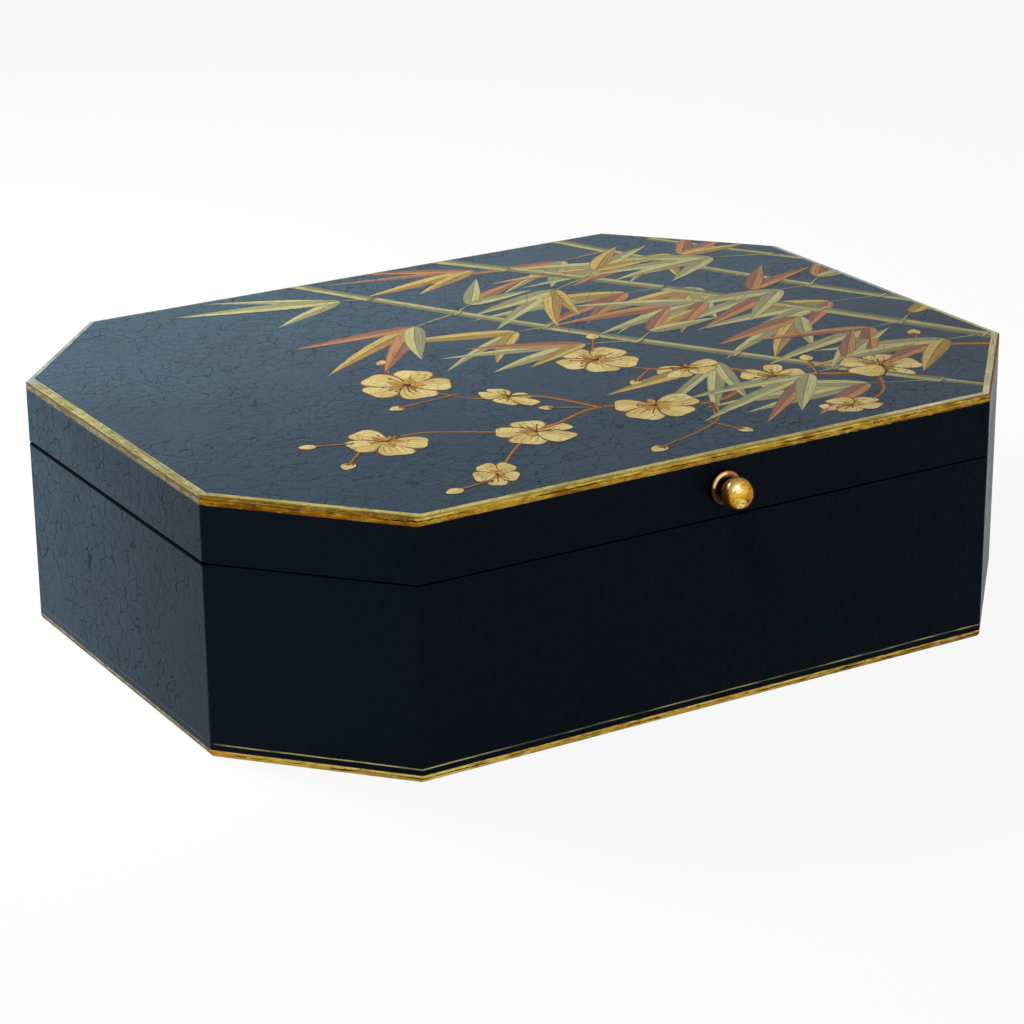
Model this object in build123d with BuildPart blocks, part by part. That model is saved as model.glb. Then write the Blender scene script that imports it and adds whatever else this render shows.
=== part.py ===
from build123d import *
import math
import os

# A lacquered wooden box with clipped corners and a hinged lid.
# X runs along the front, Y from front to back and Z up. The origin is in the middle of the
# face that the box rests on. Every size is in millimetres.

# The closed box
length = 318.0
depth = 244.0
height = 89.0
lid_height = 21.8
corner_length = 47.7  # what a clipped corner takes off the front
corner_depth = 53.3  # what it takes off the side

# Walls and boards
wall = 9.0
bottom_edge = 3.0  # thickness of the bottom board where its edge shows
bottom_plug = 3.0  # its thicker middle, which sits inside the walls
top_edge = 3.0  # the same two sizes of the lid board
top_plug = 2.0
plug_clearance = 0.1
upright_radius = 1.2  # the eight upright corners
seam_gap = 0.5  # the open line that shows round the seam
seam_gap_depth = 3.0
seam_radius = 0.4  # the two edges of that line
top_radius = 0.6
bottom_radius = 2.4
mitre_overrun = 5.0  # how far the mitre cuts run past the walls

# Linings and pads
lining = 1.2
lining_setback = 3.0  # from the seam to the edge of a lining
floor_pad_height = 5.0
lid_pad_height = 4.0
pad_clearance = 0.5
pad_radius = 1.6

# Hinges, with their axis along the rear seam
hinge_length = 30.0
hinge_margin = 26.0  # from the end of the rear side to the hinge
knuckle_count = 5
knuckle_gap = 0.15
barrel_radius = 2.5
barrel_clearance = 0.3
hinge_inset = 2.2  # from the rear face to the axis
leaf_reach = 6.3  # from the axis to the leaf's inner edge
leaf_thickness = 1.2
leaf_gap = 0.05  # from the leaf's outer face to the seam
leaf_clearance = 0.1
pin_radius = 0.9
pin_clearance = 0.05
pin_overhang = 0.3
open_angle = 95.0  # where the bevels along the rear seam meet
bevel_clearance = 0.1

# Hinge screws
screw_count = 3
screw_spacing = 10.0
screw_inset = 1.75  # from the leaf's inner edge to the screws
screw_length = 7.0
screw_tip = 1.5
shank_radius = 0.8
head_radius = 1.4
head_height = 0.9
screw_clearance = 0.05
slot_width = 0.4
slot_depth = 0.35

# Knob on the front rail
knob_rise = 10.4  # from the seam to the knob's middle
knob_offset = 1.8  # how far right of the front's middle it is fitted
ball_radius = 5.4
ball_reach = 8.1  # from the front face to the ball's middle
neck_radius = 1.9  # where the neck meets the ball
neck_waist_radius = 1.75
neck_foot_radius = 2.4
stud_radius = 1.5
stud_clearance = 0.05
stud_setback = 0.4  # from the rail's inner face to the stud's end
collar_radius = 5.8
collar_height = 2.6
collar_bead = 1.0  # radius of the bead round the collar's rim
nut_width = 6.0
nut_thickness = 2.2
nut_recess_radius = 4.6
nut_recess_depth = 3.2

seam = height - lid_height
rail_top = height - top_edge
floor_level = bottom_edge + bottom_plug
ceiling_level = rail_top - top_plug
knob_height = seam + knob_rise
hinge_y = depth / 2 - hinge_inset
hinge_x = length / 2 - corner_length - hinge_margin - hinge_length / 2
hinge_places = {"left": -hinge_x, "right": hinge_x}
knuckle_pitch = hinge_length / knuckle_count
sides = [
    "front",
    "front_right",
    "right",
    "rear_right",
    "rear",
    "rear_left",
    "left",
    "front_left",
]

os.makedirs("parts", exist_ok=True)


def outline(inset):
    """The eight corners of the plan, moved inwards by inset, from the front's left end round."""
    slant = math.hypot(corner_length, corner_depth)
    spare = corner_length + corner_depth - slant
    half_x = length / 2 - inset
    half_y = depth / 2 - inset
    inner_x = half_x - corner_length + inset * spare / corner_depth
    inner_y = half_y - corner_depth + inset * spare / corner_length
    return [
        (-inner_x, -half_y),
        (inner_x, -half_y),
        (half_x, -inner_y),
        (half_x, inner_y),
        (inner_x, half_y),
        (-inner_x, half_y),
        (-half_x, inner_y),
        (-half_x, -inner_y),
    ]


def keep(piece, name):
    """Labels a finished piece and writes it."""
    piece.label = name
    export_step(piece, f"parts/{name}.step")


def hinge_seat(x, up):
    """The plane at a hinge's middle, on its axis, whose normal points out of the leaf's wood."""
    if up:
        return Plane(origin=(x, hinge_y, seam))
    return Plane(origin=(x, hinge_y, seam), x_dir=(-1, 0, 0), z_dir=(0, 0, -1))


def knuckle_places(first):
    """Where every second knuckle sits along the axis, counted from first."""
    start = -hinge_length / 2 + knuckle_pitch / 2
    return [start + i * knuckle_pitch for i in range(first, knuckle_count, 2)]


def screw_places(z):
    """Where a leaf's screws go, in the plane of its hinge seat."""
    start = -screw_spacing * (screw_count - 1) / 2
    y = -leaf_reach + screw_inset
    return [(start + i * screw_spacing, y, z) for i in range(screw_count)]


# The wood cut away on both sides of the seam: a V along the rear that stops the lid, and at
# each hinge a pocket for the barrel, a bed for the leaves and pilot holes for the screws.
with BuildPart() as hinge_relief:
    with BuildSketch(Plane.YZ):
        v_start = hinge_y - bevel_clearance
        v_reach = hinge_inset + bevel_clearance + mitre_overrun
        v_half = v_reach * math.tan(math.radians(open_angle / 2))
        Polygon(
            (v_start, seam),
            (v_start + v_reach, seam - v_half),
            (v_start + v_reach, seam + v_half),
            align=None,
        )
    extrude(amount=length / 2, both=True)
    with Locations(*[(x, hinge_y, seam) for x in hinge_places.values()]):
        Cylinder(
            barrel_radius + barrel_clearance,
            hinge_length + 2 * (pin_overhang + barrel_clearance),
            rotation=(0, 90, 0),
        )
        Box(
            hinge_length + 2 * leaf_clearance,
            leaf_reach + leaf_clearance,
            2 * (leaf_gap + leaf_thickness),
            align=(Align.CENTER, Align.MAX, Align.CENTER),
        )
        with Locations(*screw_places(0)):
            Cylinder(shank_radius + screw_clearance, 2 * (screw_length + leaf_gap))

# The base's walls as one ring, cut apart at the mitres below. A lower outer edge leaves the
# open line under the lid, which rests on the inner part of the walls.
with BuildPart() as base_ring:
    with BuildSketch(Plane.XY.offset(bottom_edge)):
        Polygon(*outline(0), align=None)
        fillet(vertices(), upright_radius)
        Polygon(*outline(wall), align=None, mode=Mode.SUBTRACT)
    extrude(amount=seam - seam_gap - bottom_edge)
    fillet(faces().sort_by(Axis.Z)[-1].outer_wire().edges(), seam_radius)
    with BuildSketch(Plane.XY.offset(seam - seam_gap)):
        Polygon(*outline(seam_gap_depth), align=None)
        Polygon(*outline(wall), align=None, mode=Mode.SUBTRACT)
    extrude(amount=seam_gap)
    add(hinge_relief.part, mode=Mode.SUBTRACT)

# The lid's rails in the same way, with a hole for the knob's stud and a recess for its nut
with BuildPart() as lid_ring:
    with BuildSketch(Plane.XY.offset(seam)):
        Polygon(*outline(0), align=None)
        fillet(vertices(), upright_radius)
        Polygon(*outline(wall), align=None, mode=Mode.SUBTRACT)
    extrude(amount=rail_top - seam)
    fillet(faces().sort_by(Axis.Z)[0].outer_wire().edges(), seam_radius)
    add(hinge_relief.part, mode=Mode.SUBTRACT)
    with Locations(Plane(origin=(knob_offset, -depth / 2 + wall, knob_height), z_dir=(0, 1, 0))):
        CounterBoreHole(stud_radius + stud_clearance, nut_recess_radius, nut_recess_depth, wall)


def mitred(ring, side):
    """The piece of a ring that lies along one side, cut at its two mitres."""
    far = outline(-mitre_overrun)
    near = outline(wall + mitre_overrun)
    following = (side + 1) % len(sides)
    with BuildPart() as piece:
        add(ring)
        with BuildSketch(Plane.XY):
            Polygon(far[side], far[following], near[following], near[side], align=None)
        extrude(amount=height, mode=Mode.INTERSECT)
    return piece.part


for number, side_name in enumerate(sides):
    keep(mitred(base_ring.part, number), f"{side_name}_wall")
    keep(mitred(lid_ring.part, number), f"{side_name}_rail")

# Bottom board: its edge lies under the walls, its plug between them
with BuildPart() as bottom_board:
    with BuildSketch():
        Polygon(*outline(0), align=None)
    extrude(amount=bottom_edge)
    fillet(faces().sort_by(Axis.Z)[0].edges(), bottom_radius)
    with BuildSketch(Plane.XY.offset(bottom_edge)):
        Polygon(*outline(wall + plug_clearance), align=None)
    extrude(amount=bottom_plug)
keep(bottom_board.part, "bottom_board")

# Lid board: its edge lies on the rails, its plug between them
with BuildPart() as lid_board:
    with BuildSketch(Plane.XY.offset(rail_top)):
        Polygon(*outline(0), align=None)
        fillet(vertices(), upright_radius)
    extrude(amount=top_edge)
    fillet(faces().sort_by(Axis.Z)[-1].edges(), top_radius)
    with BuildSketch(Plane.XY.offset(ceiling_level)):
        Polygon(*outline(wall + plug_clearance), align=None)
    extrude(amount=top_plug)
keep(lid_board.part, "lid_board")


def lining_strip(low, high):
    """A strip of covered card, folded once round the inside of the walls."""
    with BuildPart() as strip:
        with BuildSketch(Plane.XY.offset(low)):
            Polygon(*outline(wall), align=None)
            Polygon(*outline(wall + lining), align=None, mode=Mode.SUBTRACT)
        extrude(amount=high - low)
    return strip.part


def pad(low, high):
    """A flat pad that fills the plan inside the lining."""
    with BuildPart() as cushion:
        with BuildSketch(Plane.XY.offset(low)):
            Polygon(*outline(wall + lining + pad_clearance), align=None)
            fillet(vertices(), pad_radius)
        extrude(amount=high - low)
    return cushion.part


keep(lining_strip(floor_level, seam - lining_setback), "base_lining")
keep(lining_strip(seam + lining_setback, ceiling_level), "lid_lining")
keep(pad(floor_level, floor_level + floor_pad_height), "floor_pad")
keep(pad(ceiling_level - lid_pad_height, ceiling_level), "lid_pad")


def hinge_leaf(seat, first):
    """A leaf bedded below the seat's plane, with every second knuckle from first."""
    plate_end = barrel_radius + barrel_clearance
    middle = -leaf_gap - leaf_thickness / 2
    own = knuckle_places(first)
    with BuildPart(seat) as leaf:
        with Locations((0, -plate_end, middle)):
            Box(
                hinge_length,
                leaf_reach - plate_end,
                leaf_thickness,
                align=(Align.CENTER, Align.MAX, Align.CENTER),
            )
        with Locations(*[(x, 0, middle) for x in own]):
            Box(
                knuckle_pitch - 2 * knuckle_gap,
                plate_end,
                leaf_thickness,
                align=(Align.CENTER, Align.MAX, Align.CENTER),
            )
        with Locations(*[(x, 0, 0) for x in own]):
            Cylinder(barrel_radius, knuckle_pitch - 2 * knuckle_gap, rotation=(0, 90, 0))
        Cylinder(
            pin_radius + pin_clearance, hinge_length, rotation=(0, 90, 0), mode=Mode.SUBTRACT
        )
        with Locations(*screw_places(-leaf_gap)):
            CounterSinkHole(shank_radius + screw_clearance, head_radius + screw_clearance)
    return leaf.part


for place_name, place in hinge_places.items():
    keep(hinge_leaf(hinge_seat(place, True), 0), f"{place_name}_hinge_base_leaf")
    keep(hinge_leaf(hinge_seat(place, False), 1), f"{place_name}_hinge_lid_leaf")
    with BuildPart(Plane(origin=(place, hinge_y, seam))) as hinge_pin:
        Cylinder(pin_radius, hinge_length + 2 * pin_overhang, rotation=(0, 90, 0))
        fillet(hinge_pin.edges().filter_by(GeomType.CIRCLE), pin_overhang)
    keep(hinge_pin.part, f"{place_name}_hinge_pin")

# One countersunk screw, its head's top at the origin and its point downwards
with BuildPart() as screw:
    with BuildSketch(Plane.XZ):
        Polygon(
            (0, 0),
            (head_radius, 0),
            (shank_radius, -(head_radius - shank_radius)),
            (shank_radius, screw_tip - screw_length),
            (0, -screw_length),
            align=None,
        )
    revolve(axis=Axis.Z)
    Box(
        2 * head_radius,
        slot_width,
        slot_depth,
        align=(Align.CENTER, Align.CENTER, Align.MAX),
        mode=Mode.SUBTRACT,
    )


def leaf_screws(up):
    """The screws of both hinges on one side of the seam."""
    with BuildPart() as screws:
        for x in hinge_places.values():
            with Locations(hinge_seat(x, up)):
                with Locations(*screw_places(-leaf_gap)):
                    add(screw.part)
    return screws.part


keep(leaf_screws(True), "base_hinge_screws")
keep(leaf_screws(False), "lid_hinge_screws")

# The turned knob. In its plane X runs out of the front face and Y is the radius.
knob_seat = (knob_offset, -depth / 2, knob_height)
turning_plane = Plane(origin=knob_seat, x_dir=(0, -1, 0), z_dir=(-1, 0, 0))
turning_axis = Axis(knob_seat, (0, -1, 0))
collar_floor = collar_height - collar_bead
ball_start = ball_reach - math.sqrt(ball_radius**2 - neck_radius**2)

with BuildPart() as knob_collar:
    with BuildSketch(turning_plane):
        with BuildLine():
            rim_start = (collar_floor, collar_radius)
            rim_end = (collar_floor, collar_radius - 2 * collar_bead)
            rim_top = (collar_height, collar_radius - collar_bead)
            hole = stud_radius + stud_clearance
            Polyline((0, hole), (0, collar_radius), rim_start)
            ThreePointArc(rim_start, rim_top, rim_end)
            Polyline(rim_end, (collar_floor, hole), (0, hole))
        make_face()
    revolve(axis=turning_axis)
keep(knob_collar.part, "knob_collar")

with BuildPart() as lid_knob:
    with BuildSketch(turning_plane):
        with BuildLine():
            foot = (collar_floor, neck_foot_radius)
            neck = (ball_start, neck_radius)
            stud_end = stud_setback - wall
            waist = ((collar_floor + ball_start) / 2, neck_waist_radius)
            Polyline(
                (ball_reach + ball_radius, 0),
                (stud_end, 0),
                (stud_end, stud_radius),
                (collar_floor, stud_radius),
                foot,
            )
            ThreePointArc(foot, waist, neck)
            ThreePointArc(neck, (ball_reach, ball_radius), (ball_reach + ball_radius, 0))
        make_face()
    revolve(axis=turning_axis)
keep(lid_knob.part, "lid_knob")

# Square nut, seated on the floor of its recess
nut_seat = Plane(
    origin=(knob_offset, -depth / 2 + wall - nut_recess_depth, knob_height), z_dir=(0, 1, 0)
)
with BuildPart(nut_seat) as knob_nut:
    Box(
        nut_width,
        nut_width,
        nut_thickness,
        align=(Align.CENTER, Align.CENTER, Align.MIN),
    )
    Hole(stud_radius + stud_clearance)
keep(knob_nut.part, "knob_nut")
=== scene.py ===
import math
import random

import bmesh
import bpy
from mathutils import Matrix, Vector


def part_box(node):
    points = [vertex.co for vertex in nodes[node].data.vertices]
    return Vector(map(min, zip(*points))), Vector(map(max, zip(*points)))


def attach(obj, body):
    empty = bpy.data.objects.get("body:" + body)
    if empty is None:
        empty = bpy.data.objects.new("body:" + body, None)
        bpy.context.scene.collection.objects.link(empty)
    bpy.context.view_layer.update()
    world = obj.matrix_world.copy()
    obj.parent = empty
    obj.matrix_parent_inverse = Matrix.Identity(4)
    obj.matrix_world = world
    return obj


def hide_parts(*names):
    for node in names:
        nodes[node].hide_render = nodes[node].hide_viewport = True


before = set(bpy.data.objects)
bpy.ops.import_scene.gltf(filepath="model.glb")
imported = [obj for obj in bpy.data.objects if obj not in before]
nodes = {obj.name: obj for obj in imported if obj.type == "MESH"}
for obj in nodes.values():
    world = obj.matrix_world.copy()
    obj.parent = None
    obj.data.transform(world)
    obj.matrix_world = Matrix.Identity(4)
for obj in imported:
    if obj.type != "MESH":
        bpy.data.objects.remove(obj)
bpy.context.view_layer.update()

# The plan of the box in metres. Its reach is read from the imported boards, and its corners are
# cut off by as much as in the part's source.
HALF_X, HALF_Y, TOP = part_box("lid_board")[1]
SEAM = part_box("front_wall")[1].z
CORNER_LENGTH = 0.0477
CORNER_DEPTH = 0.0533
FRONT_LEFT_X = CORNER_LENGTH - HALF_X  # where the front meets the corner on its left

# The photograph's camera, solved from the box's edges
CAMERA_PLACE = Vector((-0.5447, -0.9023, 0.4251))
CAMERA_AZIMUTH = math.radians(-30.90)
CAMERA_ELEVATION = math.radians(20.52)
CAMERA_ROLL = math.radians(-0.57)
CAMERA_LENS = 110.25

# The sides from the front round. The lid's border is painted by hand: how wide it is on each
# side, and how much of that is the gold of the edge, drawn over onto the top
SIDES = "front", "front_right", "right", "rear_right", "rear", "rear_left", "left", "front_left"
BORDERS = 0.0038, 0.0029, 0.0021, 0.0011, 0.0011, 0.0018, 0.0040, 0.0050
BORDER_WIDTHS = dict(zip(SIDES, BORDERS))
GOLD_WIDTHS = dict.fromkeys(SIDES, 0.0003) | {"front": 0.0012, "left": 0.0001, "front_left": 0.0025}
EDGE_HEIGHT = 0.0030  # of the edges of the lid board and the bottom board
LID_GOLD_HEIGHT = 0.0024  # how far down the lid board's edge the gold reaches
HAIRLINE_LOW = 0.0049
HAIRLINE_HIGH = 0.0054
SOFT = 0.0001  # half the width in which one paint passes into another
AT_FACE = 0.0006, 0.0009  # how deep an upright face's own look ends

# Where the border's paint changes: by Y at the front and at the left corner in front, by X - Y at
# the rear left corner, by X at the right face and by 1.1 X - Y at the right corner in front. The
# cream is painted lighter at the front and at the right corner in front, as painted light.
CREAM_FRONT_PLACE = -0.064, -0.074
CORNER_GOLD_PLACE = -0.068, -0.064
CREAM_GREY_PLACE = -0.225, -0.215
CREAM_PALE_PLACE = 0.1550, 0.1558
CREAM_RIGHT_PLACE = 0.192, 0.198
BOLE_PLACE = -0.064, -0.072

# The open line round the seam
SEAM_GAP = 0.0005
SEAM_DEPTH = 0.0030

# The lacquer's craze lines, coarse and fine: how far apart they lie and how large their patches are
CRAZE = 0.0056, 0.06
FINE_CRAZE = 0.0029, 0.024

# How deep the fine bumps of each surface are
LACQUER_RELIEF = 0.00015
PAINT_RELIEF = 0.00006
BRASS_RELIEF = 0.00004
HINGE_RELIEF = 0.00003
SILK_RELIEF = 0.00004

# The knob, measured forwards from the front: its neck and its collar's foot. The collar, measured
# from its middle: where the hollow inside its rim ends, and where its outer bead begins
KNOB_NECK = 0.0036, 0.0031
COLLAR_FOOT = 0.0018, 0.0013
COLLAR_HOLLOW = 0.0036
COLLAR_BEAD = 0.0053, 0.0058

# The silk's threads
WEFT = 0.0006
WARP = 0.0004

# The painted design. Strokes lie in thin layers on the lid, planned in millimetres.
MM = 0.001
PAINT_LOW = TOP - 0.00002
PAINT_STEP = 0.000007
PAINT_LEVELS = 15
PAINT_CROWN = 0.00001
CROSS_STEPS = 4
PAINT_SHEEN = 0.05
PAINT_LIGHT = 1.2
DARKEST = 0.002
LEAF_WIDTH = 8.0
CULM_GAP = 0.45

# The pads inside, which fill the room that the linings leave
PAD_INSET = HALF_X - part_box("floor_pad")[1].x
PAD_DRAWN_IN = 0.0006
PAD_START = 0.55  # of the pad's thickness, before it swells
QUILT_LENGTH = 0.050
QUILT_WIDTH = 0.038
QUILT_LANE = 0.030  # from one seam to the next that runs the same way
QUILT_STEPS = 8
SEAM_PULL = 0.36
SEAM_HALF_WIDTH = 0.0020
SHORTEST_EDGE = 0.0009
CLOTH_FRAMES = 20
CLOTH_PRESSURE = 6.0
CLOTH_SLACK = -0.012


def colour(red, green, blue):
    """A linear colour from the 8-bit values it shows as."""
    return tuple(
        (c / 255 / 12.92 if c / 255 <= 0.04045 else ((c / 255 + 0.055) / 1.055) ** 2.4)
        for c in (red, green, blue)
    ) + (1.0,)


class Wire:
    """The result of a node, with which further nodes do sums."""

    def __init__(self, graph, socket):
        self.graph = graph
        self.socket = socket

    def __add__(self, other):
        return self.graph.math("ADD", self, other)

    def __radd__(self, other):
        return self.graph.math("ADD", other, self)

    def __sub__(self, other):
        return self.graph.math("SUBTRACT", self, other)

    def __rsub__(self, other):
        return self.graph.math("SUBTRACT", other, self)

    def __mul__(self, other):
        return self.graph.math("MULTIPLY", self, other)

    def __truediv__(self, other):
        return self.graph.math("DIVIDE", self, other)

    def __abs__(self):
        return self.graph.math("ABSOLUTE", self)

    def ramp(self, low, high, start=0.0, end=1.0):
        """start where this is low, end where it is high, eased between them."""
        values = self, low, high, start, end
        return self.graph.wire("ShaderNodeMapRange", *values, interpolation_type="SMOOTHSTEP")


class Graph:
    """The node tree of one material or world, with short calls for what it is made of.

    It has the shaded point's place on the object, in metres, and the way that the surface faces.
    """

    def __init__(self, owner):
        owner.use_nodes = True
        self.owner = owner
        self.tree = owner.node_tree
        self.tree.nodes.clear()
        self.position = self.wire("ShaderNodeTexCoord", result="Object")
        self.normal = self.wire("ShaderNodeTexCoord", result="Normal")
        self.x, self.y, self.z = self.split(self.position)
        self.facing = self.split(self.normal)

    def node(self, kind, inputs=None, **settings):
        made = self.tree.nodes.new(kind)
        for name, value in settings.items():
            setattr(made, name, value)
        for name, value in (inputs or {}).items():
            self.put(made.inputs[name], value)
        return made

    def put(self, socket, value):
        if isinstance(value, Wire):
            self.tree.links.new(value.socket, socket)
        elif value is not None:
            socket.default_value = value

    def wire(self, kind, *values, result=0, **settings):
        """A result of a new node whose first sockets take these values."""
        made = self.node(kind, **settings)
        for socket, value in zip(made.inputs, values):
            self.put(socket, value)
        return Wire(self, made.outputs[result])

    def math(self, operation, *values, clamp=False):
        return self.wire("ShaderNodeMath", *values, operation=operation, use_clamp=clamp)

    def larger(self, first, second):
        return self.math("MAXIMUM", first, second)

    def smaller(self, first, second):
        return self.math("MINIMUM", first, second)

    def vectors(self, operation, *values, result="Vector"):
        return self.wire("ShaderNodeVectorMath", *values, result=result, operation=operation)

    def dot(self, vector, way):
        return self.vectors("DOT_PRODUCT", vector, way, result="Value")

    def stretched(self, vector, *factors):
        return self.vectors("MULTIPLY", vector, factors)

    def split(self, vector):
        parts = self.node("ShaderNodeSeparateXYZ", {"Vector": vector}).outputs
        return [Wire(self, part) for part in parts]

    def noise(self, size, detail=2.0, roughness=0.5, vector=None, result="Fac"):
        """Smooth noise from 0 to 1 whose patches are about size metres across."""
        vector = vector or self.position
        inputs = {"Vector": vector, "Scale": 1 / size, "Detail": detail, "Roughness": roughness}
        return Wire(self, self.node("ShaderNodeTexNoise", inputs).outputs[result])

    def mixed(self, kind, sockets, values, result):
        made = self.node("ShaderNodeMix", data_type=kind)
        for socket, value in zip(sockets, values):
            self.put(made.inputs[socket], value)
        return Wire(self, made.outputs[result])

    def mix(self, share, first, second):
        """A colour between two colours."""
        return self.mixed("RGBA", (0, 6, 7), (share, first, second), 2)

    def painted(self, base, *coats):
        """A colour under coats of paint, each given as its share and its colour."""
        for share, coat in coats:
            base = self.mix(share, base, coat)
        return base

    def between(self, share, first, second):
        """A number between two numbers."""
        return self.mixed("FLOAT", (0, 2, 3), (share, first, second), 0)

    def bump(self, height, depth):
        inputs = {"Height": height, "Distance": depth, "Strength": 1.0}
        return Wire(self, self.node("ShaderNodeBump", inputs).outputs["Normal"])

    def surface(self, **inputs):
        """A principled surface with these sockets, given with underscores for spaces."""
        named = {name.replace("_", " "): value for name, value in inputs.items()}
        self.output(Wire(self, self.node("ShaderNodeBsdfPrincipled", named).outputs[0]))
        return self.owner

    def output(self, shader):
        kind = "World" if isinstance(self.owner, bpy.types.World) else "Material"
        self.node(f"ShaderNodeOutput{kind}", {"Surface": shader})


def material(name):
    return Graph(bpy.data.materials.new(name))


def put_in_scene(name, data):
    made = bpy.data.objects.new(name, data)
    bpy.context.scene.collection.objects.link(made)
    return made


def background_ray(graph):
    """1 for a ray that shows the background: from the camera, a reflection or a glass."""
    seen = None
    for ray in ("Is Camera Ray", "Is Glossy Ray", "Is Transmission Ray"):
        found = graph.wire("ShaderNodeLightPath", result=ray)
        seen = found if seen is None else graph.larger(seen, found)
    return seen


def make_camera():
    azimuth, elevation = CAMERA_AZIMUTH, CAMERA_ELEVATION
    level = Vector((math.cos(azimuth), math.sin(azimuth), 0))
    ahead = math.cos(elevation)
    forward = Vector((-math.sin(azimuth) * ahead, math.cos(azimuth) * ahead, -math.sin(elevation)))
    right = level * math.cos(CAMERA_ROLL) + level.cross(forward) * math.sin(CAMERA_ROLL)
    up = right.cross(forward)
    turn = Matrix((right, up, -forward)).transposed()
    data = bpy.data.cameras.new("camera")
    data.lens = CAMERA_LENS
    data.sensor_width = 36.0
    data.clip_start = 0.05
    data.clip_end = 50
    camera = put_in_scene("camera", data)
    camera.matrix_world = Matrix.Translation(CAMERA_PLACE) @ turn.to_4x4()
    bpy.context.scene.camera = camera


AMBIENT = 0.045
WHITE = (1.0, 1.0, 1.0, 1.0)
AMBIENT_TINT = (1.0, 0.95, 1.0, 1.0)
FLOOR_SHADE = (0.22, 0.12, 0.14, 1.0)  # what the floor throws back, a little warm
FLOOR_PALE = (0.9, 0.9, 0.9, 1.0)
FLOOR_GLOW = 0.92  # how much of the floor's white doesn't depend on the lamps
FLOOR_REACH = 30.0
ROSE = (1.0, 0.5, 0.6)


def make_world():
    world = bpy.data.worlds.new("studio")
    bpy.context.scene.world = world
    graph = Graph(world)
    ambient = graph.wire("ShaderNodeBackground", AMBIENT_TINT, AMBIENT)
    white = graph.wire("ShaderNodeBackground", WHITE, 1.0)
    graph.output(graph.wire("ShaderNodeMixShader", background_ray(graph), ambient, white))


def make_floor():
    """A plain pale floor: it shows white, with the box's soft shadow kept."""
    reach = FLOOR_REACH
    mesh = bpy.data.meshes.new("floor")
    ring = [(-reach, -reach, 0), (reach, -reach, 0), (reach, reach, 0), (-reach, reach, 0)]
    mesh.from_pydata(ring, [], [(0, 1, 2, 3)])
    floor = put_in_scene("floor", mesh)
    graph = material("floor")
    dull = graph.wire("ShaderNodeBsdfDiffuse", FLOOR_SHADE)
    pale = graph.wire("ShaderNodeBsdfDiffuse", FLOOR_PALE)
    glow = graph.wire("ShaderNodeEmission", WHITE, 1.0)
    shown = graph.wire("ShaderNodeMixShader", FLOOR_GLOW, pale, glow)
    graph.output(graph.wire("ShaderNodeMixShader", background_ray(graph), dull, shown))
    mesh.materials.append(graph.owner)


def make_lamp(name, direction, distance, size, level, tint=(1, 1, 1)):
    """A square soft lamp that gives a facing surface that level, where 1 is plain daylight."""
    data = bpy.data.lights.new(name, "AREA")
    data.shape = "SQUARE"
    data.size = size
    data.energy = level * (math.pi * distance) ** 2
    data.color = tint
    towards = Vector(direction).normalized()
    turn = towards.to_track_quat("Z", "Y").to_matrix().to_4x4()
    put_in_scene(name, data).matrix_world = Matrix.Translation(towards * distance) @ turn


def make_lamps():
    make_lamp("key", (-0.50, 0.60, 0.62), distance=0.8, size=0.35, level=1.7)
    make_lamp("glint", (-0.392, -0.328, 0.860), distance=2.0, size=0.34, level=0.08)
    make_lamp("front_fill", (0.5, -0.7, 0.55), distance=2.4, size=1.6, level=0.03, tint=ROSE)


def outline():
    """The eight corners of the lid's plan, from the front's left end round."""
    inner_x, inner_y = HALF_X - CORNER_LENGTH, HALF_Y - CORNER_DEPTH
    half = [(-inner_x, -HALF_Y), (inner_x, -HALF_Y), (HALF_X, -inner_y), (HALF_X, inner_y)]
    return [Vector((turn * x, turn * y)) for turn in (1, -1) for x, y in half]


def plan_sides():
    """Each side of the plan: its name, the way it faces and how far it is from the middle."""
    corners = outline()
    for name, first, second in zip(SIDES, corners, corners[1:] + corners[:1]):
        line = (second - first).normalized()
        out = Vector((line.y, -line.x))
        yield name, out, first.dot(out)


def clip_to_plan(mesh, insets):
    """Cuts a mesh off at the plan's sides, each moved inwards by its own inset."""
    for name, out, reach in plan_sides():
        edge = out * (reach - insets[name])
        bmesh.ops.bisect_plane(
            mesh,
            geom=mesh.verts[:] + mesh.edges[:] + mesh.faces[:],
            plane_co=(edge.x, edge.y, 0),
            plane_no=(out.x, out.y, 0),
            clear_outer=True,
        )


def past_line(graph, widths):
    """How far the shaded point lies inside a line drawn round the lid, in metres."""
    nearest = None
    for name, out, reach in plan_sides():
        towards = graph.dot(graph.position, (out.x, out.y, 0))
        left = reach - widths[name] - towards
        nearest = left if nearest is None else graph.smaller(nearest, left)
    return nearest


def inset(graph):
    """How far the shaded point lies inside the plan's outline, in metres."""
    x, y = abs(graph.x), abs(graph.y)
    slant = math.hypot(CORNER_LENGTH, CORNER_DEPTH)
    reach = CORNER_DEPTH * (HALF_X - CORNER_LENGTH) + CORNER_LENGTH * HALF_Y
    from_side = HALF_X - x
    from_front = HALF_Y - y
    along = x * (CORNER_DEPTH / slant) + y * (CORNER_LENGTH / slant)
    from_corner = reach / slant - along
    return graph.smaller(graph.smaller(from_side, from_front), from_corner)


def near_sides(graph):
    """1 at the box's upright faces to the right and left, and 0 further in."""
    return (HALF_X - abs(graph.x)).ramp(*AT_FACE, 1.0, 0.0)


def from_front_left(graph):
    """How far the shaded point is, along X, from where the front meets the corner on its left."""
    return abs(graph.x - FRONT_LEFT_X)


def three_tones(*rows):
    """Three tones of one paint: plain, in bright streaks and in dull patches."""
    return [colour(*row) for row in rows]
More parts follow.
